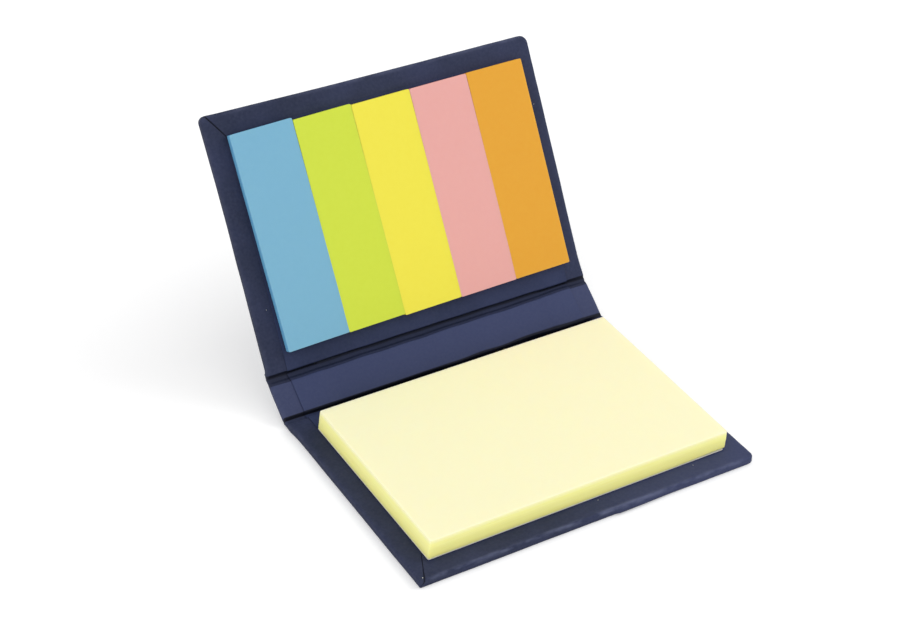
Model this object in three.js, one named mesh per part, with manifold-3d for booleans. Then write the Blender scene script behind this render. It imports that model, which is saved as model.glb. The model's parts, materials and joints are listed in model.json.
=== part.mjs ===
// A hard-cover set of sticky notes: a paper-covered board case that opens like a book,
// with a note pad stuck to its base and five page-marker pads stuck inside its cover.
// Millimetres. +X runs along the folds, +Y points from the fore edge to the spine, +Z is up.
// The origin is the centre of the base's underside.
import * as THREE from "three";
import { mergeVertices } from "three/addons/utils/BufferGeometryUtils.js";
import Module from "manifold-3d";

const wasm = await Module();
wasm.setup();

// The pads: a note pad, and a row of markers cut from the same size of sheet
const noteWidth = 75;
const noteDepth = 50;
const noteLeaves = 50;
const noteLean = new THREE.Vector2(0.6, 0.3);
const markerLeaves = 20;
const markerGap = 0.1;
const leafThickness = 0.085;
const backingCard = 0.15;
const padCornerRadius = 0.35;

// The margins of bare panel round the pads, and how far off centre each was stuck
const sideMargin = 4.7;
const noteForeMargin = 4.9;
const noteFoldMargin = 4.7;
const noteShift = 0.2;
const markerForeMargin = 5.2;
const markerShift = 0.6;

// The case's boards and papers
const greyboard = 1.6;
const wrapPaper = 0.15;
const linerPaper = 0.15;
const glueFilm = 0.05;
const turnIn = 12;
const linerInset = 4.7;
const cornerRadius = 2;
const arrisRadius = 0.45;
const mitreSlit = 0.12;
const mitreStart = 1.4;

// The folds, as they stand half open
const spineFoldAngle = THREE.MathUtils.degToRad(36);
const coverFoldAngle = THREE.MathUtils.degToRad(24);
const foldLip = 1;
const foldClearance = 0.1;
const closingClearance = 0.35;

// The five page markers from left to right: how far each leans to the left, and how far it
// was set above or below the row
const markers = [
  { name: "marker_blue", color: 0x7cb2cf, lean: 0.95, lift: 0.15 },
  { name: "marker_green", color: 0xd0e04a, lean: 0.75, lift: 0.05 },
  { name: "marker_yellow", color: 0xf1e64c, lean: 0.6, lift: -0.1 },
  { name: "marker_pink", color: 0xe8a6a2, lean: 0.45, lift: -0.05 },
  { name: "marker_orange", color: 0xe5a436, lean: 0.25, lift: 0.1 },
];

// The panels are cut to the note pad and its margins, and the markers to the notes.
const panelWidth = noteWidth + 2 * sideMargin;
const panelDepth = noteForeMargin + noteDepth + noteFoldMargin;
const markerWidth = noteWidth / markers.length;
const markerLength = noteDepth;

// Heights through a covered panel, from its outside
const boardUnder = wrapPaper + glueFilm;
const boardTop = boardUnder + greyboard;
const pocketTop = boardTop + glueFilm;
const borderTop = pocketTop + wrapPaper;
const linerUnder = borderTop + glueFilm;
const panelTop = linerUnder + linerPaper;
const padSeat = panelTop + glueFilm;

// Heights of the pads on their panels
const leavesUnder = padSeat + backingCard + glueFilm;
const noteTop = leavesUnder + noteLeaves * leafThickness;
const markerTop = leavesUnder + markerLeaves * leafThickness;

// Each fold stands clear of the board that it folds over by the covered board's thickness.
// The spine is as high as the two pads need when the case is shut.
const foldReach = panelTop + foldClearance;
const closedHeight = noteTop + markerTop + closingClearance;
const spineHeight = closedHeight - foldReach - foldLip;

const linerHalf = panelWidth / 2 - linerInset;
const boardEdge = Math.max(wrapPaper, linerPaper) + glueFilm;
const beyond = 5;

// The geometry as a manifold solid, with only its positions left and its doubles merged.
function solid(geometry) {
  const bare = new THREE.BufferGeometry();
  bare.setAttribute("position", geometry.getAttribute("position"));
  if (geometry.index) bare.setIndex(geometry.index);
  const merged = mergeVertices(bare, 1e-4);
  return new wasm.Manifold(
    new wasm.Mesh({
      numProp: 3,
      vertProperties: merged.getAttribute("position").array,
      triVerts: new Uint32Array(merged.index.array),
    }),
  );
}

// The manifold solid as a three.js geometry again.
function geometryOf(manifold) {
  const mesh = manifold.getMesh();
  const geometry = new THREE.BufferGeometry();
  geometry.setAttribute("position", new THREE.BufferAttribute(mesh.vertProperties, 3));
  geometry.setIndex(new THREE.BufferAttribute(mesh.triVerts, 1));
  return geometry;
}

// A box from its low corner to its high corner.
function block(low, high) {
  const size = high.map((value, axis) => value - low[axis]);
  const box = new THREE.BoxGeometry(...size);
  box.translate(...low.map((value, axis) => value + size[axis] / 2));
  return solid(box);
}

// An outline whose low-Y corners are square and whose high-Y corners are round, or square too
// where the radius is zero.
function tabOutline(halfWidth, lowY, highY, radius) {
  const outline = new THREE.Shape();
  outline.moveTo(-halfWidth, lowY);
  outline.lineTo(halfWidth, lowY);
  outline.lineTo(halfWidth, highY - radius);
  if (radius > 0) outline.absarc(halfWidth - radius, highY - radius, radius, 0, Math.PI / 2, false);
  outline.lineTo(-halfWidth + radius, highY);
  if (radius > 0) outline.absarc(-halfWidth + radius, highY - radius, radius, Math.PI / 2, Math.PI, false);
  return outline;
}

// A flat plate of the outline between two heights, with its arrises rounded as paper drawn over
// a board's edge is. Inside the paper the rounding is less by the paper's thickness.
function softPlate(outline, lowZ, highZ) {
  const radius = Math.max(arrisRadius - lowZ, 0);
  const geometry = new THREE.ExtrudeGeometry(outline, {
    depth: highZ - lowZ - 2 * radius,
    bevelEnabled: radius > 0,
    bevelThickness: radius,
    bevelSize: radius,
    bevelOffset: -radius,
    bevelSegments: 3,
    curveSegments: 6,
  });
  geometry.translate(0, 0, lowZ + radius);
  return solid(geometry);
}

// One panel of the case, lying outside down, its hinge side at Y = 0 and the far side at depth.
// A panel with a fore edge has its paper turned in there too. The spine has none: both of its
// long sides run on into a fold.
function coveredPanel(depth, hasForeEdge) {
  const halfWidth = panelWidth / 2;
  const farY = hasForeEdge ? depth : depth + beyond;
  const mouths = hasForeEdge ? [0] : [0, depth];

  // The wrap goes under the board, up its free edges and in over its border.
  let wrap = softPlate(tabOutline(halfWidth, -beyond, farY, cornerRadius), 0, borderTop);
  wrap = wrap.intersect(block([-halfWidth, 0, 0], [halfWidth, depth, borderTop]));
  const pocketRadius = hasForeEdge ? cornerRadius - wrapPaper : 0;
  const pocket = tabOutline(halfWidth - wrapPaper, wrapPaper, depth - wrapPaper, pocketRadius);
  wrap = wrap.subtract(softPlate(pocket, wrapPaper, pocketTop));
  const windowHalf = halfWidth - turnIn;
  const windowFarY = hasForeEdge ? depth - turnIn : depth + beyond;
  wrap = wrap.subtract(
    block([-windowHalf, -beyond, pocketTop - glueFilm], [windowHalf, windowFarY, borderTop + 1]),
  );
  const mouthHalf = linerHalf + glueFilm;
  for (const mouthY of mouths) {
    wrap = wrap.subtract(
      block([-mouthHalf, mouthY - boardEdge, wrapPaper], [mouthHalf, mouthY + boardEdge, borderTop + 1]),
    );
  }
  if (hasForeEdge) {
    for (const side of [-1, 1]) wrap = wrap.subtract(mitre(side * halfWidth, depth, side));
  }

  const boardFarY = hasForeEdge ? depth - boardUnder : depth - boardEdge;
  const boardRadius = hasForeEdge ? cornerRadius - boardUnder : 0;
  const boardOutline = tabOutline(halfWidth - boardUnder, boardEdge, boardFarY, boardRadius);
  const board = softPlate(boardOutline, boardUnder, boardTop);

  // The liner lies on the turned-in border, sinks onto the board inside it, and goes down the
  // covered board's edge towards each fold.
  const linerFarY = hasForeEdge ? depth - linerInset : depth;
  const wellHalf = windowHalf - glueFilm;
  const wellFarY = hasForeEdge ? windowFarY - glueFilm : depth;
  const dipHalf = wellHalf - linerPaper;
  const dipFarY = hasForeEdge ? wellFarY - linerPaper : depth + beyond;
  let liner = block([-linerHalf, 0, linerUnder], [linerHalf, linerFarY, panelTop]);
  liner = liner.add(block([-wellHalf, 0, pocketTop], [wellHalf, wellFarY, panelTop]));
  for (const mouthY of mouths) {
    const lowY = mouthY === 0 ? 0 : mouthY - linerPaper;
    liner = liner.add(block([-linerHalf, lowY, boardUnder], [linerHalf, lowY + linerPaper, panelTop]));
  }
  const dipUnder = pocketTop + linerPaper;
  liner = liner.subtract(block([-dipHalf, -beyond, dipUnder], [dipHalf, dipFarY, panelTop + 1]));

  return { wrap: geometryOf(wrap), board: geometryOf(board), liner: geometryOf(liner) };
}

// The slit where two turned-in borders meet at a corner, at 45 degrees.
function mitre(cornerX, cornerY, side) {
  const length = turnIn * Math.SQRT2 - mitreStart;
  const slit = new THREE.BoxGeometry(mitreSlit, length, wrapPaper * 4);
  slit.translate(0, -mitreStart - length / 2, borderTop);
  slit.rotateZ(-side * (Math.PI / 4));
  slit.translate(cornerX, cornerY, 0);
  return solid(slit);
}

// The paper of a fold, wrap and liner pasted together, bent on the fold line at its underside.
function foldStrip(before, after, angle) {
  const thickness = wrapPaper + linerPaper;
  const inset = thickness * Math.tan(angle / 2);
  const along = new THREE.Vector2(Math.cos(angle), Math.sin(angle));
  const across = new THREE.Vector2(-along.y, along.x).multiplyScalar(thickness);
  const start = -before + glueFilm;
  const end = along.clone().multiplyScalar(after - glueFilm);
  const outline = new THREE.Shape([
    new THREE.Vector2(start, 0),
    new THREE.Vector2(0, 0),
    end,
    end.clone().add(across),
    new THREE.Vector2(-inset, thickness),
    new THREE.Vector2(start, thickness),
  ]);
  const geometry = new THREE.ExtrudeGeometry(outline, { depth: panelWidth, bevelEnabled: false });
  geometry.translate(0, 0, -panelWidth / 2);
  geometry.rotateY(Math.PI / 2);
  geometry.rotateX(Math.PI / 2);
  return geometry;
}

// A rectangular pad or card with slightly worn corners, centred on its own middle.
function padBlock(width, depth, height) {
  const outline = new THREE.Shape();
  const x = width / 2 - padCornerRadius;
  const y = depth / 2 - padCornerRadius;
  outline.absarc(x, -y, padCornerRadius, -Math.PI / 2, 0, false);
  outline.absarc(x, y, padCornerRadius, 0, Math.PI / 2, false);
  outline.absarc(-x, y, padCornerRadius, Math.PI / 2, Math.PI, false);
  outline.absarc(-x, -y, padCornerRadius, Math.PI, Math.PI * 1.5, false);
  return new THREE.ExtrudeGeometry(outline, { depth: height, bevelEnabled: false, curveSegments: 3 });
}

function piece(name, geometry, color, roughness) {
  const material = new THREE.MeshStandardMaterial({ color, roughness, metalness: 0 });
  const mesh = new THREE.Mesh(geometry, material);
  mesh.name = name;
  return mesh;
}

// The three sheets and board of a panel, as meshes.
function panelPieces(name, depth, hasForeEdge) {
  const parts = coveredPanel(depth, hasForeEdge);
  const group = new THREE.Group();
  group.add(piece(`${name}_wrap`, parts.wrap, 0x3a3e58, 0.75));
  group.add(piece(`${name}_board`, parts.board, 0x8d8a84, 0.9));
  group.add(piece(`${name}_liner`, parts.liner, 0x3f4460, 0.8));
  return group;
}

const part = new THREE.Group();

// The base lies flat with its fore edge towards -Y, so its panel is turned half round.
const basePanel = panelPieces("base", panelDepth, true);
basePanel.rotation.z = Math.PI;
basePanel.position.y = panelDepth / 2;
part.add(basePanel);

const noteCentreY = -panelDepth / 2 + noteForeMargin + noteDepth / 2;
const noteBacking = piece(
  "note_backing",
  padBlock(noteWidth, noteDepth, backingCard),
  0xe9e6da,
  0.8,
);
noteBacking.position.set(noteShift - noteLean.x / 2, noteCentreY - noteLean.y / 2, padSeat);
part.add(noteBacking);

// The pad's leaves have slid a little over each other, so its sides lean.
const noteHeight = noteTop - leavesUnder;
const noteGeometry = padBlock(noteWidth, noteDepth, noteHeight);
const slide = new THREE.Matrix4().makeShear(
  0, 0, 0, 0, noteLean.x / noteHeight, noteLean.y / noteHeight,
);
noteGeometry.applyMatrix4(slide);
const notePad = piece("note_pad", noteGeometry, 0xfdf7cc, 0.85);
notePad.position.set(noteShift - noteLean.x / 2, noteCentreY - noteLean.y / 2, leavesUnder);
part.add(notePad);

// The first fold, and the spine that stands on it.
const spineFold = new THREE.Group();
spineFold.position.y = panelDepth / 2 + foldReach;
spineFold.add(piece("spine_fold", foldStrip(foldReach, foldLip, spineFoldAngle), 0x2f3349, 0.75));
part.add(spineFold);

const spine = new THREE.Group();
spine.rotation.x = spineFoldAngle;
spineFold.add(spine);
const spinePanel = panelPieces("spine", spineHeight, false);
spinePanel.position.y = foldLip;
spine.add(spinePanel);

// The second fold, and the cover that leans back from it.
const coverFold = new THREE.Group();
coverFold.position.y = foldLip + spineHeight + foldReach;
coverFold.add(piece("cover_fold", foldStrip(foldReach, foldLip, coverFoldAngle), 0x2f3349, 0.75));
spine.add(coverFold);

const cover = new THREE.Group();
cover.rotation.x = coverFoldAngle;
coverFold.add(cover);
const coverPanel = panelPieces("cover", panelDepth, true);
coverPanel.position.y = foldLip;
cover.add(coverPanel);

const markerRowWidth = markers.length * markerWidth + (markers.length - 1) * markerGap;
const markerCentreY = foldLip + panelDepth - markerForeMargin - markerLength / 2;
const markerBacking = piece(
  "marker_backing",
  padBlock(markerRowWidth, markerLength, backingCard),
  0xe9e6da,
  0.8,
);
markerBacking.position.set(markerShift, markerCentreY, padSeat);
cover.add(markerBacking);

markers.forEach(({ name, color, lean, lift }, index) => {
  const height = markerTop - leavesUnder;
  const fromMiddle = index - (markers.length - 1) / 2;
  const pad = piece(name, padBlock(markerWidth, markerLength, height), color, 0.85);
  pad.position.x = markerShift + fromMiddle * (markerWidth + markerGap);
  pad.position.y = markerCentreY + lift;
  pad.position.z = leavesUnder;
  pad.rotation.z = THREE.MathUtils.degToRad(lean);
  cover.add(pad);
});

export default part;
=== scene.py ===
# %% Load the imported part
import json
import math

import bmesh
import bpy
import numpy as np
from mathutils import Matrix, Vector


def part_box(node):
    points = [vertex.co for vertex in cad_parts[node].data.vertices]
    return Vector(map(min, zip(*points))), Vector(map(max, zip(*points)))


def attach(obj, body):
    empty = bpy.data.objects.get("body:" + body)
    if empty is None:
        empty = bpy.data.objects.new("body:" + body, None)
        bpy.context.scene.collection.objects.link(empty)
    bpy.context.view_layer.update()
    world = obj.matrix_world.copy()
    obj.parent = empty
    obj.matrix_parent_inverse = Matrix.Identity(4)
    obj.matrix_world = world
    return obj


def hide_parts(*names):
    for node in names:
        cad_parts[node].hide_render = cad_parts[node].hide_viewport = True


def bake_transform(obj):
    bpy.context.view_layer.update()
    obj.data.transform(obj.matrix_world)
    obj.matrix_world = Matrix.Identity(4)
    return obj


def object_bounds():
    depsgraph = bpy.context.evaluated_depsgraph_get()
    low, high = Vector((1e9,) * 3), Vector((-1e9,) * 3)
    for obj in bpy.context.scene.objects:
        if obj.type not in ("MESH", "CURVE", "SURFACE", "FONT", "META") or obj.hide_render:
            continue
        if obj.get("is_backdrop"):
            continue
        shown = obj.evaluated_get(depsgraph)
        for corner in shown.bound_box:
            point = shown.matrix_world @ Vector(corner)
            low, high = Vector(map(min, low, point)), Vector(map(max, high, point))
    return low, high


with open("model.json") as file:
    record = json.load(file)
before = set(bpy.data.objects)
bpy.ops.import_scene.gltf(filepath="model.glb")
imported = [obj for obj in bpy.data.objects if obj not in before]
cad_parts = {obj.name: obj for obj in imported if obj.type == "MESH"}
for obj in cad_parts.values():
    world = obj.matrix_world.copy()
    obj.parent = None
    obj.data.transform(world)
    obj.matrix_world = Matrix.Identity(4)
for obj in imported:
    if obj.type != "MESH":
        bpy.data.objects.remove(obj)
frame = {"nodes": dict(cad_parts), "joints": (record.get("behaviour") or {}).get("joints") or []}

mm = 0.001
cad_box = [list(corner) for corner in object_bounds()]
print("frame:", len(frame["nodes"]), "nodes, box in mm", [[round(v / mm, 2) for v in c] for c in cad_box])

# %% [markdown]
# # A hard-cover set of sticky notes
# The real thing is a small case of grey board covered in navy paper. It opens like a book. A pad of
# cream notes is stuck to its base, and five narrow pads of page markers are stuck inside its cover.
# The loaded frame already holds every board and pad at its true size and place. This lesson puts
# finer surfaces in place of the papers and pads, gives each one its finish, and lights the set.
#
# First the sizes are read from the frame, so that nothing here has to be measured twice. A panel
# has its own coordinates: x runs across it, u runs up it from its fold line, and n stands out of
# it from its outer face to its inner one.

# %% Sizes and fold lines from the frame
wrap_low, wrap_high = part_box("base_wrap")
_, liner_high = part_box("base_liner")
half_width = wrap_high.x
panel_depth = wrap_high.y - wrap_low.y
border_top = wrap_high.z
liner_half = liner_high.x
liner_inset = half_width - liner_half
hinge = {joint["name"]: joint for joint in frame["joints"]}
spine_turn = math.radians(-hinge["spine_hinge"]["range_deg"][0])
cover_turn = math.radians(-hinge["cover_hinge"]["range_deg"][0])
spine_line = np.array(hinge["spine_hinge"]["pos_m"][1:])
cover_line = np.array(hinge["cover_hinge"]["pos_m"][1:])
fold_reach = spine_line[0] - wrap_high.y
fold_lip = 1.0 * mm
spine_end = np.linalg.norm(cover_line - spine_line) - fold_reach
spine_height = spine_end - fold_lip
print("panel", round(2 * half_width / mm, 2), "x", round(panel_depth / mm, 2),
      "mm, spine", round(spine_height / mm, 2), "mm")

# %% [markdown]
# ## Camera
# The photograph was taken from above the near left corner with a long lens, so that lines hardly
# converge. The camera stands on a point, looks at another inside the set and has a small roll. Its
# lens is written from its focal length in pixels of the 900 pixel wide picture.

# %% Camera
bpy.context.scene.view_settings.view_transform = "Standard"
picture_width = 900
picture_height = 641
focal_pixels = 2117.4
sensor_width = 36.0
camera_place = Vector((-201.47, -308.58, 296.21)) * mm
camera_target = Vector((0.05, 31.50, 14.81)) * mm
camera_roll = math.radians(1.078)

back = (camera_place - camera_target).normalized()
level_right = Vector((0, 0, 1)).cross(back).normalized()
level_up = back.cross(level_right)
right = math.cos(camera_roll) * level_right + math.sin(camera_roll) * level_up
up = -math.sin(camera_roll) * level_right + math.cos(camera_roll) * level_up
camera = bpy.data.objects.new("camera", bpy.data.cameras.new("camera"))
camera.data.sensor_width = sensor_width
camera.data.lens = focal_pixels * sensor_width / picture_width
camera.data.clip_start = 0.01
camera.matrix_world = Matrix.Translation(camera_place) @ Matrix((right, up, back)).transposed().to_4x4()
bpy.context.collection.objects.link(camera)
bpy.context.scene.camera = camera
print("lens", round(camera.data.lens, 2), "mm")

# %% [markdown]
# ## Helpers for surfaces
# Paper is thin and smooth, so each sheet is worked out as a grid of points from a formula, and the
# grids are welded where they meet. Each grid point carries its place and, after it, the numbers
# that go with it: how worn the paper is there, with a painted highlight on the same mark, how dark
# its painted shade is, how pale it is in tone and by painted light, and how far a crease lifts or
# sinks it. The lift is applied along the finished surface's own normals, so that creases stay
# joined where two grids meet.

# %% Weld grids into one mesh
weld = 1e-4 * mm


def weld_grids(grids):
    """Vertices and faces of several grids, where points within a ten-thousandth of a mm are one."""
    points = np.concatenate([grid.reshape(-1, grid.shape[-1]) for grid in grids])
    quads = []
    start = 0
    for grid in grids:
        rows, columns = grid.shape[:2]
        number = start + np.arange(rows * columns).reshape(rows, columns)
        corners = [number[:-1, :-1], number[:-1, 1:], number[1:, 1:], number[1:, :-1]]
        quads.append(np.stack(corners, axis=-1).reshape(-1, 4))
        start += rows * columns
    keys = np.round(points[:, :3] / weld).astype(np.int64)
    _, first, index = np.unique(keys, axis=0, return_index=True, return_inverse=True)
    faces = index.reshape(-1)[np.concatenate(quads)]
    whole = (faces != np.roll(faces, -1, axis=1)).all(axis=1)
    pinched = [list(dict.fromkeys(face)) for face in faces[~whole].tolist()]
    return points[first], faces[whole].tolist() + [face for face in pinched if len(face) > 2]


def add_mesh(name, points, faces, marks, outward):
    """A smooth mesh whose faces all point the same way round: outwards at the point outward[0],
    which lies on it, in the direction outward[1]. marks are numbers that the finishes read."""
    mesh = bpy.data.meshes.new(name)
    mesh.from_pydata(points[:, :3].tolist(), [], faces)
    for mark, values in marks.items():
        layer = mesh.attributes.new(mark, "FLOAT", "POINT")
        layer.data.foreach_set("value", np.ascontiguousarray(values, np.float32))
    sheet = bmesh.new()
    sheet.from_mesh(mesh)
    bmesh.ops.recalc_face_normals(sheet, faces=sheet.faces)
    nearest = min(sheet.faces, key=lambda face: (face.calc_center_median() - outward[0]).length)
    if nearest.normal.dot(outward[1]) < 0:
        bmesh.ops.reverse_faces(sheet, faces=sheet.faces)
    for rim in [edge for edge in sheet.edges if edge.is_boundary]:
        rim.smooth = False
    sheet.to_mesh(mesh)
    sheet.free()
    mesh.polygons.foreach_set("use_smooth", np.ones(len(mesh.polygons), bool))
    mesh.update()
    made = bpy.data.objects.new(name, mesh)
    bpy.context.collection.objects.link(made)
    return made


def push_out(thing, distance):
    """Moves each vertex along its own normal by the distance given for it."""
    mesh = thing.data
    count = len(mesh.vertices)
    places = np.zeros(count * 3, np.float32)
    normals = np.zeros(count * 3, np.float32)
    mesh.vertices.foreach_get("co", places)
    mesh.vertex_normals.foreach_get("vector", normals)
    moved = places.reshape(-1, 3) + normals.reshape(-1, 3) * distance[:, None]
    mesh.vertices.foreach_set("co", moved.astype(np.float32).ravel())
    mesh.update()


# %% [markdown]
# Paper pasted over board is never quite flat. A sum of sine waves with seeded directions and
# phases gives a smooth swell that doesn't repeat. It is worked out from the place of each point,
# so two sheets that meet swell together.

# %% Gentle unevenness
def swell(places, seed, wavelength, waves=7):
    """A smooth field of about unit height: the mean of sine waves of roughly one wavelength."""
    draw = np.random.default_rng(seed)
    directions = draw.normal(size=(waves, places.shape[-1]))
    directions /= np.linalg.norm(directions, axis=1)[:, None]
    lengths = wavelength * draw.uniform(0.6, 1.6, waves)
    phases = draw.uniform(0, 2 * np.pi, waves)
    turns = 2 * np.pi * (places @ directions.T) / lengths + phases
    return np.sin(turns).sum(axis=-1) / math.sqrt(waves)


def ease(value, low, high):
    """0 below low, 1 above high, and a smooth step between them."""
    share = np.clip((value - low) / (high - low), 0, 1)
    return share * share * (3 - 2 * share)


# %% [markdown]
# ## The case seen from its side
# Seen from the side, the case is two lines. The outer line runs under the base, bends up the
# spine and bends again up the cover. The inner line is one covered board above it, except at the
# two folds, where it dips into a groove down to bare paper. Corners of both lines are rounded,
# because paper pulled over a board's edge never makes a sharp arris.

# %% Places on a panel
def on_panel(line, turn, u, n):
    """The (y, z) places at u along a panel from its fold line and n out from its outer face."""
    along = np.array([math.cos(turn), math.sin(turn)])
    out = np.array([-math.sin(turn), math.cos(turn)])
    return line + np.asarray(u, float)[..., None] * along + np.asarray(n, float)[..., None] * out


def base_from_edge(v, n):
    """Places on the base at v from its fore edge."""
    return on_panel(spine_line, 0, v - panel_depth - fold_reach, n)


def spine_from_foot(w, n):
    """Places on the spine at w up from its lower edge."""
    return on_panel(spine_line, spine_turn, fold_lip + w, n)


def spine_from_head(w, n):
    """Places on the spine at w down from its upper edge."""
    return on_panel(spine_line, spine_turn, spine_end - w, n)


def cover_from_edge(v, n):
    """Places on the cover at v from its fore edge."""
    return on_panel(cover_line, spine_turn + cover_turn, fold_lip + panel_depth - v, n)


def above_fold(line, turn_before, turn, height):
    """The place above a fold line at which two sheets of that height meet."""
    return on_panel(line, turn_before + turn / 2, 0, height / math.cos(turn / 2))


# %% [markdown]
# Each half of the case, from a fore edge to the middle of the spine, is one pair of such lines.
# Both lines have the same number of stations, close together at the corner and in the groove,
# where the paper bends, and far apart on the flat. In the groove they follow the board's arris,
# the foot of the wall, the fold line, the foot of the other wall and the spine's arris. The wall
# on the spine's side has a ledge in the upper groove and is plain in the lower one.
#
# Each half also has four traits: how far its fore edge bulges, how much paler painted light makes
# it towards the right, whether its groove gets bands of painted shade, and how strongly its fore
# edge is rubbed, with a painted highlight on the rubbed arris.

# %% Outer and inner lines of half a case
arris = 0.45 * mm
paper = 0.15 * mm
groove_floor = 2 * paper
wall_slant = 0.35 * mm
far_off = 99 * mm
spine_wall_starts = 0.66
to_corner = np.array([0, 0.03, 0.08, 0.15, 0.25, 0.4, 0.6, 0.85, 1.15, 1.5, 1.9, 2.4, 3, 3.8, 4.8, 6]) * mm
to_flat = 7.2 * mm
to_fold = panel_depth - np.array([1.8, 1.3, 0.9, 0.65]) * mm
panel_stations = np.concatenate([to_corner, np.linspace(to_flat, to_fold[0] - 0.8 * mm, 44), to_fold])


def rounded(corners, reaches, count):
    """The points of a line whose corners are each rounded by a quadratic curve of a reach."""
    curves = []
    t = np.linspace(0, 1, count)[:, None]
    for before, corner, after, reach in zip(corners, corners[1:], corners[2:], reaches):
        back_leg = before - corner
        next_leg = after - corner
        start = corner + back_leg * min(reach / np.linalg.norm(back_leg), 0.49)
        end = corner + next_leg * min(reach / np.linalg.norm(next_leg), 0.49)
        curves.append((1 - t) ** 2 * start + 2 * t * (1 - t) * corner + t ** 2 * end)
    return np.concatenate(curves)


def half_case(panel, spine, line, foot, wall, reaches, stations):
    """Outer and inner lines from a fore edge to mid-spine, with these values for each station:
    distance, from the fore edge; from_fold, how far up the spine it is, which is 0 on the groove's
    wall on that side and far off before it; in_groove, 0 on the panel, 1 on the spine and the share
    of the groove's line between them; on_spine, the same over the line's last quarter only; slide,
    the way that the wall on the spine's side may slide along the spine; bridge, the way from the
    groove's line up to a sheet drawn straight across it; and drawn, how much the fold draws the
    paper in: 0 to 1 over the 25 mm before it, and back to 0 over 3 mm of the spine."""
    corners = [
        panel(panel_depth - 3 * mm, border_top),
        panel(panel_depth, border_top),
        panel(panel_depth + wall_slant, groove_floor),
        foot,
        *[spine(w, n) for w, n in wall],
        spine(3 * mm, border_top),
    ]
    inner_groove = rounded(corners, [0.35 * mm, 0.2 * mm, 0.6 * mm, *reaches], 8)
    spine_arris = wall[-1][0] + reaches[-1]
    steps = np.linalg.norm(np.diff(inner_groove, axis=0), axis=1)
    t = (np.concatenate([[0], np.cumsum(steps)]) / steps.sum())[:, None]
    start = panel(panel_depth - arris, 0)
    end = spine(spine_arris, 0)
    outer_groove = (1 - t) ** 2 * start + 2 * t * (1 - t) * line + t ** 2 * end
    close = np.array([0.1, 0.2, 0.3, 0.45, 0.7, 1.1, 1.6, 2.2, 2.8]) * mm
    climb = np.append(spine_arris + close, spine_height / 2)
    outer = np.concatenate([panel(stations, 0), outer_groove, spine(climb, 0)])
    inner = np.concatenate([panel(stations, border_top), inner_groove, spine(climb, border_top)])
    distance = np.concatenate([stations, np.full(len(t) + len(climb), panel_depth)])
    along_spine = spine(1, 0) - spine(0, 0)
    tied = 1 - ease(climb, 0.6 * mm, 3.2 * mm)
    loose = np.concatenate([np.zeros(len(stations)), ease(t[:, 0], 0.4, 0.72), tied])
    bridge = np.zeros_like(inner)
    straight = (1 - t) * inner_groove[0] + t * inner_groove[-1]
    bridge[len(stations):len(stations) + len(t)] = straight - inner_groove
    before_wall = t[:, 0] < spine_wall_starts
    from_fold = np.concatenate([np.full(len(stations), far_off), far_off * before_wall, climb])
    on_spine = np.concatenate([0 * stations, ease(t[:, 0], 0.75, 1), 1 + 0 * climb])
    in_groove = np.concatenate([0 * stations, t[:, 0], 1 + 0 * climb])
    drawn = [ease(stations, panel_depth - 25 * mm, panel_depth), 1 + 0 * t[:, 0], 1 - ease(climb, 0, 3 * mm)]
    return {"outer": outer, "inner": inner, "distance": distance, "from_fold": from_fold,
            "on_spine": on_spine, "slide": loose[:, None] * along_spine, "bridge": bridge,
            "in_groove": in_groove, "drawn": np.concatenate(drawn)}


spine_foot = above_fold(spine_line, 0, spine_turn, groove_floor)
spine_head = above_fold(cover_line, spine_turn, cover_turn, groove_floor)
plain_wall = [(-wall_slant, groove_floor), (0, border_top)]
ledge_wall = [(-1.0 * mm, 0.5 * mm), (-0.65 * mm, 1.45 * mm), (-0.1 * mm, 1.7 * mm), (0.2 * mm, border_top)]
lower_reaches = (0.4 * mm, 0.25 * mm)
upper_reaches = (0.4 * mm, 0.15 * mm, 0.15 * mm, 0.2 * mm)
lower_fold = (base_from_edge, spine_from_foot, spine_line, spine_foot, plain_wall, lower_reaches)
upper_fold = (cover_from_edge, spine_from_head, cover_line, spine_head, ledge_wall, upper_reaches)
lower_traits = {"bulge": 0.5 * mm, "paler": 0.8, "deep": 0, "rubbed": 1.5}
upper_traits = {"bulge": 0, "paler": 0.2, "deep": 1, "rubbed": 0.8}
lower = half_case(*lower_fold, panel_stations) | lower_traits
upper = half_case(*upper_fold, panel_stations) | upper_traits
print("stations in each half of the case", len(lower["outer"]))

# %% [markdown]
# The grooves were pressed by hand, so their edges wander: towards the right the paper reaches
# further over the upper groove, and the lower groove's edge waves. Both grooves are shallower at
# their ends, most of all at the right, where the turned-in paper is stiff, and the upper one is
# shallow all along.

# %% How far the groove's edge wanders
def lower_wander(x):
    wave = np.sin(x / (5.2 * mm) + 0.4) + 0.6 * np.sin(x / (2.3 * mm) + 1)
    return -0.12 * mm * (1 + wave * ease(x, -20 * mm, 15 * mm))


def upper_wander(x):
    drawn_over = 0.05 * mm + 0.3 * mm * np.clip((x + 34 * mm) / (66 * mm), 0, 1.1)
    return -drawn_over - 0.05 * mm * (1 + np.sin(x / (4.3 * mm)) + 0.7 * np.sin(x / (1.7 * mm)))


def lower_rise(x):
    """How much of the way up to a straight sheet the groove's paper stays, from left to right."""
    return 0.85 * ease(x, 36.5 * mm, 41.5 * mm) + 0.55 * ease(-x, 24 * mm, 40 * mm)


def upper_rise(x):
    return 0.4 + 0.3 * ease(x, 36 * mm, 41.5 * mm) + 0.15 * ease(-x, 34 * mm, 42 * mm)


def lower_painted_shade_reach(x):
    """How far up the spine the painted shade along the pressed line reaches: further towards the right."""
    wave = np.sin(x / (3.7 * mm)) + 0.7 * np.sin(x / (1.6 * mm) + 2)
    return 0.1 * mm + (0.5 * mm + 0.07 * mm * wave) * ease(x, -32 * mm, 25 * mm)


def upper_painted_shade_reach(x):
    """Below 0 all along, which means no such line: the bands of painted shade in marks_at darken the upper
    groove.
    """
    return -1 * mm + 0 * x


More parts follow.
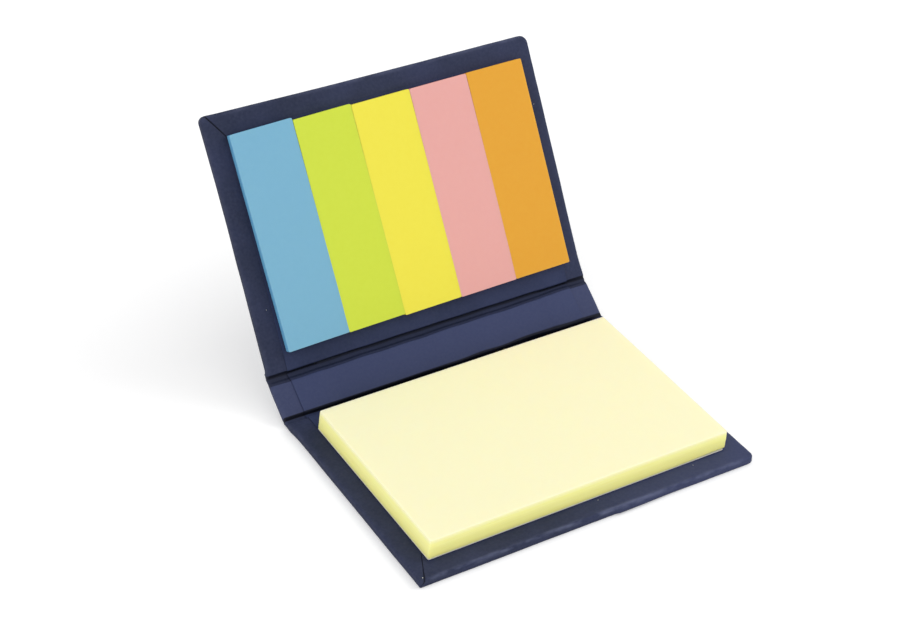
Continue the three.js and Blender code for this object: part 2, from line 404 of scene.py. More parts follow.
def painted_light_to_right(half, x):
    """How much paler painted light makes the paper from left to right, up to the half's own share."""
    return half["paler"] * ease(x, -25 * mm, 44 * mm)


# Each press holds how the groove's edge wanders, how far its paper rises, and how far its painted shade
# reaches up the spine.
lower_press = (lower_wander, lower_rise, lower_painted_shade_reach)
upper_press = (upper_wander, upper_rise, upper_painted_shade_reach)


def marks_at(half, x, painted_shade_reach, inside):
    """How much painted shade darkens the paper and how much paler it is. Painted shade reaches up to
    the given reach from the fold. A half with painted groove shade also gets three bands of painted
    shade across the groove, by the share of the groove's line: a dark one from 0.04 to 0.5, a
    lighter one from 0.3 to 0.96 and a thin line at 0.9. The darkest of them all counts. The paper is
    paler in tone on the spine, and painted light makes it paler towards the right, on the spine too;
    the paler of the two counts."""
    # Painted shade: a dark colour laid along the pressed line and in bands across the groove, where the fold
    # lies in shade.
    painted_shade_amount = 1 - ease(half["from_fold"][:, None] - painted_shade_reach(x), -0.1 * mm, 0.1 * mm)
    place = half["in_groove"][:, None] + 0.012 * np.sin(x / (1.9 * mm))
    deep = 0.9 * ease(place, 0.04, 0.1) * (1 - ease(place, 0.36, 0.5))
    painted_shade_line = 0.65 * np.exp(-(((place - 0.9) / 0.035) ** 2))
    lighter_painted_shade = 0.48 * ease(place, 0.3, 0.4) * (1 - ease(place, 0.9, 0.96))
    shade = inside * np.maximum(painted_shade_amount, half["deep"] * np.maximum(np.maximum(deep, lighter_painted_shade), painted_shade_line))
    # Paler tone on the spine, which painted light raises towards the right, and painted light towards the
    # right.
    on_spine = half["on_spine"][:, None] * (0.72 + 0.2 * ease(x, -30 * mm, 30 * mm))
    return shade, np.maximum(on_spine, painted_light_to_right(half, x))


# %% [markdown]
# ## The wrap
# One sheet of navy paper covers the outside, goes round the boards' edges and is pasted down on
# the inside as a border 12 mm wide. The simplest model is a box with rounded edges, but it has no
# folded corners. Here the border's section, which goes from the outer face round both arrises and
# in over the inner face, is carried along the case's two long sides and along each fore edge. The
# strips meet at the corners on a diagonal, which is where the real paper is mitred.

# %% Section of a turned-in edge
turn_in = 12 * mm
insets = np.array([12, 9.5, 7.5, 6, 4.8, 3.8, 3, 2.3, 1.7, 1.25, 0.9, 0.65]) * mm
quarter = np.linspace(0, math.pi / 2, 6)


def edge_section(thickness):
    """Inset from the edge and height of the section's points, one row a station. Each arris is a
    quarter circle of the arris's radius, or of nearly half the thickness where that is less."""
    thickness = thickness[:, None]
    radius = np.minimum(arris, 0.48 * thickness)
    flat = np.broadcast_to(insets, (len(thickness), len(insets)))
    round_in = radius * (1 - np.sin(quarter))
    round_up = radius * (1 - np.cos(quarter))
    side = radius + (thickness - 2 * radius) * np.array([0.33, 0.67])
    inset = np.hstack([flat, round_in, np.zeros_like(side), round_in[:, ::-1], flat[:, ::-1]])
    height = np.hstack([flat * 0, round_up, side, thickness - round_up[:, ::-1], thickness + flat * 0])
    return inset, height


def near_arris(inset, height, thickness):
    """1 on the inner arris, fading to 0 over a millimetre of the border and of the side. It is the mask
    of rubbed wear and of a painted highlight along the arris.
    """
    return (1 - ease(inset, 0.1 * mm, 1.1 * mm)) * ease(height / thickness, 0.45, 0.9)


# %% [markdown]
# At a corner, the grid lines bend round with the outline. A point's distance from the side edge is
# called a and from the fore edge b. Where the two flaps meet on the inside, the seam isn't at 45
# degrees, because one flap was cut askew, so the diagonal is pushed to where the seam is. Along it
# one flap dips and the other, which lies on top, stands up by its own thickness.

# %% Corner: outline, seam and step
def round_corner(a, b, radius):
    """Moves points of a square corner onto rounded insets: each inset's quarter circle has the
    corner's radius less the inset, and the diagonal stays the diagonal."""
    inset = np.minimum(a, b)
    other = np.maximum(a, b)
    room = np.maximum(radius - inset, 1e-9)
    angle = math.pi / 4 * np.clip((radius - other) / room, 0, 1)
    on_arc = (inset < radius) & (other < radius)
    near = np.where(on_arc, radius - room * np.cos(angle), inset)
    far = np.where(on_arc, radius - room * np.sin(angle), other)
    return np.where(a <= b, near, far), np.where(a <= b, far, near)


def seam_shift(inset, offset, slope):
    """How far round the corner from the diagonal the seam a = offset + slope b crosses an inset:
    positive along the fore edge, negative along the side edge."""
    inset = np.minimum(inset, 5 * mm)
    on_fore = offset + (slope - 1) * inset
    on_side = inset - (inset - offset) / slope
    return np.where(on_fore > 0, on_fore, on_side)


def past_corner(inset, way):
    """The point of an inset's square corner at a way along it: up the side edge where the way is
    below 0, and along the fore edge where it is above."""
    return inset + np.maximum(way, 0), inset + np.maximum(-way, 0)


def seam_lift(from_seam, on_top, inside, depth):
    """A crease at the seam, with painted shade along it that is darker the deeper the crease is, and
    beside it on the upper flap a low step that dies away.
    """
    width = 0.08 * mm + 0.6 * depth
    line = np.exp(-((from_seam / width) ** 2)) * inside
    step = 0.6 * depth * ease(from_seam, 0, width) * np.exp(-from_seam / (2.5 * mm)) * inside
    return on_top * step - depth * line, np.clip(depth / (0.15 * mm), 0, 1) * line


def stretched(a, b, pull):
    """Insets of a corner that stands out: each edge swings out by the pull, fading along itself
    (over 22 mm for the side edge and 40 mm for the fore edge) and inwards over 10 mm."""
    swing_a = (1 - ease(a, 1 * mm, 10 * mm)) * np.clip(1 - b / (22 * mm), 0, 1) ** 1.2
    swing_b = (1 - ease(b, 1 * mm, 10 * mm)) * np.clip(1 - a / (40 * mm), 0, 1) ** 1.2
    return a - pull[0] * swing_a, b - pull[1] * swing_b


# %% [markdown]
# The four corners differ. The two seams on the left show clearly in the photograph, and the two on
# the right are pressed flat. The near left corner of the base was tucked in sharply, and the others
# are round. Each corner has a radius, its seam's offset and slope, and the crease's depth. It also
# has a pull, because the paper stands out at the cover's top left corner and, less so, at the base's
# near right one. The last three act at the fold on the corner's side: a flare, because the paper
# spreads sideways where the fold ends, the distance over which the flare fades, and how far the
# side edge is drawn in.

# %% Strips of the wrap
along_fore = np.concatenate([to_corner, np.linspace(to_flat, half_width, 32)])


def away_from_edge(outer):
    """The direction from the fore edge into the panel, along the outer face."""
    return (outer[1] - outer[0]) / np.linalg.norm(outer[1] - outer[0])


def round_the_end(inset, inside, along, straight, corner):
    """Insets from the side and fore edges of a strip's points. Each lies at a way round its inset's
    square corner: the seam's shift, which fades along the strip, and the straight part after it."""
    shift = seam_shift(inset, corner["offset"], corner["slope"]) * inside
    way = shift * np.exp(-along / (6 * mm)) * (1 - ease(along, 12 * mm, 28 * mm)) + straight
    return stretched(*round_corner(*past_corner(inset, way), corner["radius"]), corner["pull"])


def side_strip(half, hand, corner):
    """The turned-in edge along a long side, from the corner's seam to mid-spine: rows are
    stations, and the section is laid from the outer face round to the border's inner edge."""
    outer = half["outer"]
    rise = half["inner"] - outer
    wander, lifted, painted_shade_reach = corner["press"]
    thickness = np.linalg.norm(rise, axis=1)
    inset, height = edge_section(thickness)
    share = height / thickness[:, None]
    inside = ease(share, 0.15, 0.8) * np.ones_like(inset)
    v = np.broadcast_to(half["distance"][:, None], inset.shape)
    a, b = round_the_end(inset, inside, v, -v * (1 - inset / panel_depth), corner)
    at_fold = np.exp(-(((panel_depth - v) / corner["flare_fade"]) ** 2))
    flare = corner["flare"] * at_fold * (1 - ease(a, 0.3 * mm, 4.5 * mm))
    x = hand * (half_width - a + flare - corner["drawn_in"] * half["drawn"][:, None])
    yz = outer[:, None] + share[..., None] * rise[:, None] + (b - v)[..., None] * away_from_edge(outer)
    yz = yz + half["slide"][:, None] * (inside * wander(x))[..., None]
    yz = yz + half["bridge"][:, None] * (share * lifted(x))[..., None]
    # Rubbed wear along the arris, with a painted highlight on it.
    wear = 0.25 * near_arris(inset, height, thickness[:, None])
    # Painted shade darkens the seam's crease and the fold; the darker of the two is kept.
    lift, seam_painted_shade = seam_lift(v, 0, inside, corner["crease"])
    shade, faded = marks_at(half, x, painted_shade_reach, inside)
    return np.dstack([x, yz, wear, lift, np.maximum(seam_painted_shade, shade), faded])


def fore_strip(half, hand, corner):
    """The turned-in edge along half a fore edge, from the corner's seam to the middle. Where the
    half bulges, the lower part of its side stands out right of the middle, from 6 mm, and dies away
    up to 27 mm."""
    outer, inner = half["outer"][0], half["inner"][0]
    inset, height = edge_section(np.full(len(along_fore), border_top))
    share = height / border_top
    inside = ease(share, 0.15, 0.8)
    c = np.broadcast_to(along_fore[:, None], inset.shape)
    a, b = round_the_end(inset, inside, c, c * (1 - inset / half_width), corner)
    x = hand * (half_width - a)
    yz = outer + share[..., None] * (inner - outer) + b[..., None] * away_from_edge(half["outer"])
    # Rubbed wear and a painted highlight along the fore edge's arris.
    wear = half["rubbed"] * near_arris(inset, height, border_top) * (0.25 + 0.75 * ease(c, 0, 6 * mm))
    # Painted shade darkens the seam's crease.
    lift, seam_painted_shade = seam_lift(c, 1, inside, corner["crease"])
    bulge = ease(x, 5.4 * mm, 6.1 * mm) * (1 - ease(x, 9 * mm, 27 * mm)) * ease(share, 0.05, 0.3)
    lift = lift + half["bulge"] * bulge * (1 - ease(share, 0.45, 0.9)) * (inset < 0.6 * mm)
    return np.dstack([x, yz, wear, lift, seam_painted_shade, painted_light_to_right(half, x)])


def back_sheet(half):
    """The flat of the outer face inside the strips, in rows of stations."""
    outer, distance = half["outer"], half["distance"]
    columns = half_width - (along_fore + turn_in * (1 - along_fore / half_width))
    x = np.concatenate([-columns, columns[-2::-1]])
    yz = outer + (turn_in * (1 - distance / panel_depth))[:, None] * away_from_edge(outer)
    x_grid = np.broadcast_to(x, (len(yz), len(x)))
    yz_grid = np.broadcast_to(yz[:, None], (len(yz), len(x), 2))
    # Only the paler tone and the painted light towards the right; the outer face gets no painted shade.
    _, faded = marks_at(half, x_grid, upper_painted_shade_reach, 1)
    return np.dstack([x_grid, yz_grid, x_grid * 0, x_grid * 0, x_grid * 0, faded])


def slow_swell(places):
    """The unevenness that wrap and liner share, so that they swell together."""
    return 0.02 * mm * swell(places, 11, 22 * mm)


def thicken(thing):
    """Makes a solid sheet, a little thinner than the paper, behind a surface: its faces stay out."""
    sheet = thing.modifiers.new("paper", "SOLIDIFY")
    sheet.thickness = 0.9 * paper
    sheet.offset = -1


def wrap_half(name, half, corners, underside):
    """Half of the wrap: two side strips, two halves of a fore strip and the back between them. The
    unevenness dies away towards mid-spine, where the other half goes on."""
    grids = [back_sheet(half)]
    for hand, corner in zip((-1, 1), corners):
        grids += [side_strip(half, hand, corner), fore_strip(half, hand, corner)]
    points, faces = weld_grids(grids)
    # The marks are wear with a painted highlight, painted shade, and paler tone with painted light.
    marks = {"wear": points[:, 3], "shade": points[:, 5], "faded": points[:, 6]}
    wrap = add_mesh(name, points, faces, marks, underside)
    middle = (half["outer"][-1] + half["inner"][-1]) / 2
    from_middle = np.linalg.norm(points[:, 1:3] - middle, axis=1)
    still = ease(from_middle, 1.2 * mm, 3.5 * mm)
    places = points[:, :3]
    uneven = slow_swell(places) + 0.012 * mm * swell(places, 12, 7 * mm)
    wrinkle = 0.035 * mm * swell(places, 13, 3.2 * mm) * points[:, 3]
    push_out(wrap, points[:, 4] + (uneven + wrinkle) * still)
    thicken(wrap)
    print(name, len(faces), "faces")
    return wrap


near_left = {"radius": 0.5 * mm, "offset": 1.08 * mm, "slope": 0.45, "crease": 0.15 * mm,
             "pull": (0, 0), "flare": 0.3 * mm, "flare_fade": 3 * mm, "drawn_in": 0,
             "press": lower_press}
near_right = {"radius": 1.5 * mm, "offset": 0.2 * mm, "slope": 0.9, "crease": 0.02 * mm,
              "pull": (0.35 * mm, 0.2 * mm), "flare": 0.3 * mm, "flare_fade": 0.8 * mm,
              "drawn_in": 0.05 * mm, "press": lower_press}
top_left = {"radius": 1.5 * mm, "offset": 1.3 * mm, "slope": 0.67, "crease": 0.16 * mm,
            "pull": (0.42 * mm, 0.45 * mm), "flare": 0.3 * mm, "flare_fade": 0.8 * mm,
            "drawn_in": 0.05 * mm, "press": upper_press}
top_right = {"radius": 2 * mm, "offset": 0.2 * mm, "slope": 0.9, "crease": 0.02 * mm,
             "pull": (0, 0), "flare": 0.3 * mm, "flare_fade": 2.5 * mm, "drawn_in": 0,
             "press": upper_press}
base_middle = Vector((0, (wrap_low.y + wrap_high.y) / 2, 0))
cover_middle = Vector((0, *cover_from_edge(panel_depth / 2, 0)))
cover_out = Vector((0, math.sin(spine_turn + cover_turn), -math.cos(spine_turn + cover_turn)))
case_lower = wrap_half("case_wrap_lower", lower, (near_left, near_right), (base_middle, Vector((0, 0, -1))))
case_upper = wrap_half("case_wrap_upper", upper, (top_left, top_right), (cover_middle, cover_out))

# %% [markdown]
# Each half of the wrap is one piece in the set's own frame, with its transform baked into its mesh.
# It is not blended between the two bodies that it joins, so it does not bend at the folds when the
# case is shut.

# %% Bake the transforms
def bend_across(thing):
    """Bakes the object's transform into its mesh. Nothing is blended between bodies."""
    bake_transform(thing)


def bend_lower(thing):
    bend_across(thing)


def bend_upper(thing):
    bend_across(thing)


bend_lower(case_lower)
bend_upper(case_upper)
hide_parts("base_wrap", "spine_fold")
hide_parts("spine_wrap", "cover_fold", "cover_wrap")

# %% [markdown]
# ## The liner
# A second sheet of navy paper is pasted over the inside. It lies on the turned-in border, sinks by
# a paper's thickness in the middle, where there is no border under it, and is pressed down into
# both grooves. It follows the wrap's inner line, so it is a grid of the same stations across the
# case, lifted off that line by its own thickness.

# %% Liner sheets
liner_gap = 0.06 * mm
border_step = 0.14 * mm


def liner_columns():
    """Places across the liner, close together at its edges and at the border's hidden edge."""
    step = half_width - turn_in
    close = np.array([-0.9, -0.6, -0.3, 0, 0.3, 0.6, 0.9]) * mm
    edge = np.array([0, 0.05, 0.15, 0.35, 0.7, 1.2, 2]) * mm
    half = np.concatenate([np.linspace(0.8 * mm, step - 1.4 * mm, 30), step + close,
                           np.linspace(step + 1.4 * mm, liner_half - 2.6 * mm, 4), (liner_half - edge)[::-1]])
    return np.concatenate([-half[::-1], [0], half])


def liner_half_sheet(name, half, press, inside):
    """The top of the liner over half a case: the inner line lifted by the gap and, over the border,
    by the step. Inside the border's edge the liner sinks by that step."""
    outer, inner, distance = half["outer"], half["inner"], half["distance"]
    wander, lifted, painted_shade_reach = press
    tangent = np.gradient(inner, axis=0)
    tangent /= np.linalg.norm(tangent, axis=1)[:, None]
    normal = np.stack([-tangent[:, 1], tangent[:, 0]], axis=1)
    normal *= np.sign(((inner - outer) * normal).sum(axis=1))[:, None]
    x = np.broadcast_to(liner_columns(), (len(inner), len(liner_columns())))
    step = half_width - turn_in
    over_side = ease(np.abs(x), step - 2.2 * mm, step + 0.4 * mm)
    over_fore = 1 - ease(distance, turn_in - 0.4 * mm, turn_in + 2.2 * mm)[:, None]
    height = liner_gap + border_step * np.maximum(over_side, over_fore)
    yz = inner[:, None] + normal[:, None] * height[..., None]
    yz = yz + half["slide"][:, None] * wander(x)[..., None] + half["bridge"][:, None] * lifted(x)[..., None]
    # Painted shade in the grooves, and paler tone with painted light, as on the wrap.
    shade, faded = marks_at(half, x, painted_shade_reach, 1)
    points, faces = weld_grids([np.dstack([x, yz, shade, faded])])
    liner = add_mesh(name, points, faces, {"shade": points[:, 3], "faded": points[:, 4]}, inside)
    middle = (outer[-1] + inner[-1]) / 2
    still = ease(np.linalg.norm(points[:, 1:3] - middle, axis=1), 1.6 * mm, 3.5 * mm)
    places = points[:, :3]
    uneven = slow_swell(places) + 0.012 * mm * swell(places, 21, 5 * mm)
    push_out(liner, uneven * still)
    thicken(liner)
    print(name, len(faces), "faces")
    return liner


liner_stations = np.concatenate([
    liner_inset + np.array([0, 0.05, 0.15, 0.4, 0.9, 1.8, 3, 4.5, 6]) * mm,
    np.linspace(turn_in - 0.6 * mm, turn_in + 0.9 * mm, 7),
    np.linspace(turn_in + 1.8 * mm, to_fold[0] - 0.8 * mm, 34),
    to_fold,
])
lower_inner = half_case(*lower_fold, liner_stations) | lower_traits
upper_inner = half_case(*upper_fold, liner_stations) | upper_traits
base_inside = (Vector((0, base_middle.y, border_top)), Vector((0, 0, 1)))
cover_inside = (cover_middle - border_top * cover_out, -cover_out)
liner_lower = liner_half_sheet("liner_lower", lower_inner, lower_press, base_inside)
liner_upper = liner_half_sheet("liner_upper", upper_inner, upper_press, cover_inside)
bend_lower(liner_lower)
bend_upper(liner_upper)
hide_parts("base_liner")
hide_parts("spine_liner", "cover_liner")

# %% [markdown]
# ## The pads
# A pad is a stack of cut leaves held by glue along one edge. A plain box looks wrong, because the
# leaves have slid over each other and their cut edges don't line up. So the pad is a rounded
# outline carried up a profile: one row of points for each leaf, each row a little in or out of
# line, then a tight turn at the top edge and rings in to the middle of the top leaf.

# %% A pad's surface
leaf = 0.085 * mm
leaf_spread = 0.007 * mm
stack_wave = 0.012 * mm
long_points = 60
short_points = 40
rows_below_side = 3


def pad_outline(width, depth, radius, long_count, short_count):
    """Points round a rectangle with rounded corners, and the outward direction at each."""
    t = np.linspace(0, math.pi / 2, 6)
    places, directions = [], []
    corners = [(1, -1, -math.pi / 2), (1, 1, 0), (-1, 1, math.pi / 2), (-1, -1, math.pi)]
    for (sx, sy, start), count in zip(corners, [short_count, long_count] * 2):
        centre = np.array([sx * (width / 2 - radius), sy * (depth / 2 - radius)])
        ring = np.stack([np.cos(t + start), np.sin(t + start)], axis=1)
        places.append(centre + radius * ring)
        directions.append(ring)
        way = np.array([-ring[-1][1], ring[-1][0]])
        length = (depth if sx * sy < 0 else width) - 2 * radius
        share = (1 - np.cos(np.linspace(0, math.pi, count)[1:-1])) / 2
        places.append(places[-1][-1] + share[:, None] * length * way)
        directions.append(np.broadcast_to(ring[-1], (len(share), 2)))
    return np.concatenate(places), np.concatenate(directions)


def pad_surface(width, depth, leaves, radius, lean, seed, curl, shoulder=(0, 0)):
    """A pad standing on z = 0 with its middle on the z axis. Side rows are the outline at each
    leaf, moved in by a seeded amount for the leaf, and x and y lean with the height. The shoulder
    is how far the top leaves have slid in along the left and front sides. curl takes a point's
    place, from -0.5 to 0.5 across and from front to back, and gives the rise of the top leaf, which
    fades downwards as the height cubed, and that of the lowest, which fades evenly upwards."""
    outline, out = pad_outline(width, depth, radius, long_points, short_points)
    outline = np.vstack([outline, outline[:1]])
    out = np.vstack([out, out[:1]])
    height = leaves * leaf
    draw = np.random.default_rng(seed)
    steps = np.arange(leaves + 1)
    jitter = draw.normal(0, leaf_spread, leaves + 1) + stack_wave * np.sin(steps / 3.1 + draw.uniform(0, 6))
    jitter = jitter - jitter.max()
    z = steps * leaf
    side = outline[None] + out[None] * jitter[:, None, None]
    level = np.broadcast_to(z[:, None], side.shape[:2])
    along = swell(np.dstack([side / (9 * mm), level / (0.5 * mm)]), seed + 1, 1)
    side = np.dstack([side + out[None] * (leaf_spread * along)[..., None], level])
    half = min(width, depth) / 2
    rings = half * np.array([0.25, 0.4, 0.55, 0.7, 0.85])
    inward = np.concatenate([np.array([0.02, 0.06, 0.15, 0.4, 1]) * mm, rings])
    shrink = np.stack([1 - 2 * inward / width, 1 - 2 * inward / depth], axis=1)
    top = side[-1, None, :, :2] * shrink[:, None]
    top = np.dstack([top, np.full(top.shape[:2], height + 0.004 * mm)])
    top[0, :, 2] = height
    pole = np.zeros((1, len(outline), 3))
    pole[..., 2] = height
    foot = side[0, None, :, :2] * np.array([0.98, 0.5])[:, None, None]
    foot = np.dstack([foot, np.zeros(foot.shape[:2])])
    floor_pole = np.zeros((1, len(outline), 3))
    grid = np.concatenate([floor_pole, foot[::-1], side, top, pole])
    share = grid[..., 2:] / height
    grid[..., :2] += share * np.array(lean)
    place = np.stack([grid[..., 0] / width, grid[..., 1] / depth], axis=-1)
    slid = share[..., 0] ** 6
    grid[..., 0] += shoulder[0] * slid * ease(-place[..., 0], 0.1, 0.5)
    grid[..., 1] += shoulder[1] * slid * ease(-place[..., 1], 0.1, 0.5)
    top_rise, foot_rise = curl(place[..., 0], place[..., 1])
    grid[..., 2] += share[..., 0] ** 3 * top_rise + (1 - share[..., 0]) * foot_rise
    cut = np.zeros(grid.shape[:2])
    cut[rows_below_side:rows_below_side + leaves + 1] = 1 - z[:, None] / height
    return np.dstack([grid, cut])


def add_pad(name, node, surface, seat, turn, lean_back, body):
    """Welds a pad's surface, turns it on its panel and sets it on the middle of its seat, which is
    a row-frame place, on a panel that leans back by an angle. It stands for the CAD node."""
    points, faces = weld_grids([surface])
    x = points[:, 0] * math.cos(turn) - points[:, 1] * math.sin(turn)
    u = points[:, 0] * math.sin(turn) + points[:, 1] * math.cos(turn)
    yz = on_panel(np.array(seat[1:]), lean_back, u, points[:, 2])
    placed = np.column_stack([x + seat[0], yz, points[:, 3]])
    face_out = Vector((0, -math.sin(lean_back), math.cos(lean_back)))
    top = Vector(seat) + face_out * points[:, 2].max()
    pad = add_mesh(name, placed, faces, {"cut_edge": placed[:, 3]}, (top, face_out))
    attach(pad, body)
    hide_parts(node)
    print(name, len(faces), "faces")
    return pad


# %% [markdown]
# The note pad leans a little to the right and back. Its leaves are pinched together at the right
# end, as the photo shows, and fan out there by half a millimetre. Its seat is the underside of the
# CAD pad's box, whose middle is half the lean off, and the extra width goes to the right.

# %% The note pad
note_low, note_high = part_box("note_pad")
note_width = 75 * mm
note_depth = 50 * mm
note_lean = (0.6 * mm, 0.3 * mm)
note_leaves = round((note_high.z - note_low.z) / leaf)


def note_curl(across, back_from_front):
    """How far the top leaves droop at the right end, and how far the lowest ones lift there."""
    near_front = 0.5 + ease(-back_from_front, -0.5, 0.5) / 2
    droop = -0.12 * mm * ease(across, 0.2, 0.5)
    return droop * near_front, 0.25 * mm * ease(across, 0.32, 0.5) * near_front


note_shoulder = (0.15 * mm, 0.2 * mm)
note_corner = 0.4 * mm
note_seed = 5
fanned_out = 0.5 * mm
fanned_width = note_width + fanned_out
note_surface = pad_surface(fanned_width, note_depth, note_leaves, note_corner, note_lean, note_seed,
                           note_curl, note_shoulder)
note_middle = (note_low + note_high) / 2
seat_x = note_middle.x + (fanned_out - note_lean[0]) / 2
note_seat = (seat_x, note_middle.y - note_lean[1] / 2, note_low.z)
note_stack = add_pad("note_stack", "note_pad", note_surface, note_seat, 0, 0, "base")

# %% [markdown]
# The five marker pads lean a little to the left, each less than the one before, so they fan out.
# Each is as wide as a fifth of a note. The middle of each one's seat comes from its CAD node: the
# middle of a box round a turned block is the block's own middle, and the seat is half its height
# below that. Each form holds the pad's lean in degrees, how much wider it looks than a fifth of a
# note, how far it was pushed along the row, and how much longer it looks than a note is deep. The
# little extra width closes the gaps between neighbours.

# %% The marker pads
marker_width = note_width / 5
closed_width = marker_width + 0.1 * mm
marker_leaves = 20
marker_height = marker_leaves * leaf
marker_corner = 0.35 * mm
marker_seed = 31
marker_forms = {
    "blue": (1.0, 0.4 * mm, 0.2 * mm, 0.5 * mm),
    "green": (0.78, -0.4 * mm, 0.2 * mm, 0),
    "yellow": (0.6, 0, 0, 0),
    "pink": (0.45, 0, 0, 0),
    "orange": (0.25, -0.1 * mm, -0.05 * mm, 0),
}
lean_back = spine_turn + cover_turn


def flat_top(across, back_from_front):
    """A marker's top leaf is flat but for a swell of a few hundredths of a millimetre."""
    return 0.02 * mm * np.sin(3 * across + 4 * back_from_front), 0


marker_stacks = {}
for number, (colour, (lean, wider, shift, longer)) in enumerate(marker_forms.items()):
    low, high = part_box("marker_" + colour)
    middle = (low + high) / 2
    seat = middle + cover_out * marker_height / 2 + Vector((shift, 0, 0))
    width = closed_width + wider
    depth = note_depth + longer
    surface = pad_surface(width, depth, marker_leaves, marker_corner, (0, 0), marker_seed + number, flat_top)
    marker_stacks[colour] = add_pad("marker_stack_" + colour, "marker_" + colour, surface, seat,
                                    math.radians(lean), lean_back, "cover")

# %% [markdown]
# The card under the markers sits askew like them, so it stays hidden behind the leaning row. Two
# leaves of the same surface, a little smaller than the row, stand for it.

# %% The card under the markers
card_low, card_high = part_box("marker_backing")
card_seat = (card_low + card_high) / 2 + cover_out * leaf
card_width = 73.6 * mm
card_depth = 49.4 * mm
card_leaves = 2
card_corner = 0.4 * mm
card_seed = 41
card_turn = math.radians(0.6)
card_surface = pad_surface(card_width, card_depth, card_leaves, card_corner, (0, 0), card_seed, flat_top)
marker_card = add_pad("marker_card", "marker_backing", card_surface, card_seat, card_turn, lean_back,
                      "cover")

# %% [markdown]
# Crumbs of pale paper dust lie on the navy border. Each crumb is found by a ray from the camera
# through its place in the picture to the inner face of the panel that carries it, and is a low
# uneven dome set there: rings of points whose height falls off as the square of the radius. A spot
# holds the column and row of the picture and the crumb's radius in millimetres.
#
# Five of the eight crumbs show. The third and the fifth on the base land inside the note pad, and
# the first on the cover lands under the liner, so those three are hidden.

# %% Paper dust
dust_seed = 50
dome_height = 0.45
dome_sunk = 0.03 * mm


def seen_place(column, row, plane_point, plane_out):
    """Where the ray through a place in the picture meets a plane."""
    ray = right * (column - picture_width / 2) + up * (picture_height / 2 - row) - back * focal_pixels
    share = (plane_point - camera_place).dot(plane_out) / ray.dot(plane_out)
    return camera_place + share * ray


def crumb(place, out, size, seed):
    """A dome, its height a share of its radius, on a round, uneven foot sunk into the paper."""
    draw = np.random.default_rng(seed)
    turn = np.linspace(0, 2 * np.pi, 17)
    radius = np.linspace(0, 1, 6)[:, None]
    uneven = 1 + 0.25 * np.sin(2 * turn + draw.uniform(0, 6)) + 0.1 * np.sin(5 * turn + draw.uniform(0, 6))
    side = Vector((1, 0, 0))
    other = out.cross(side)
    flat = size * radius * uneven
    height = dome_height * size * (1 - radius ** 2) + 0 * turn
    around = np.stack([flat * np.cos(turn), flat * np.sin(turn), height], axis=-1)
    foot = around[::-1] * np.array([1, 1, 0]) - np.array([0, 0, dome_sunk])
    dome = np.concatenate([around, foot])
    return np.array(place) + dome @ np.array([side, other, out])


def add_dust(name, spots, plane_point, plane_out, body):
    """One piece of all the crumbs on a panel, which ride with its body."""
    grids = []
    for number, (column, row, size) in enumerate(spots):
        place = seen_place(column, row, plane_point, plane_out)
        grids.append(crumb(place, plane_out, size * mm, dust_seed + number))
    points, faces = weld_grids(grids)
    top = Vector(grids[0][0, 0])
    dust = add_mesh(name, points, faces, {}, (top, plane_out))
    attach(dust, body)
    print(name, len(spots), "crumbs")
    return dust


base_spots = [(422.6, 577.8, 0.1), (598, 500, 0.08), (622, 484, 0.08), (693, 465, 0.08), (455, 549, 0.07)]
dust_base = add_dust("dust_base", base_spots, base_inside[0], base_inside[1], "base")
cover_spots = [(559, 277.7, 0.1), (533.7, 104, 0.1), (266.3, 310, 0.08)]
dust_cover = add_dust("dust_cover", cover_spots, cover_inside[0], cover_inside[1], "cover")

# %% [markdown]
# ## Finishes
# Every finish is a network of nodes that reads the object's own coordinates, so nothing slides
# when the set opens. Colours are written as the eye sees them on screen, and a small function
# turns them into the linear values that the shader works with.

# %% Colour helper and node helper
def seen(code):
    """A colour from its six-digit screen code, as linear red, green and blue."""
    parts = [int(code[i:i + 2], 16) / 255 for i in (0, 2, 4)]
    return [part / 12.92 if part <= 0.04045 else ((part + 0.055) / 1.055) ** 2.4 for part in parts]


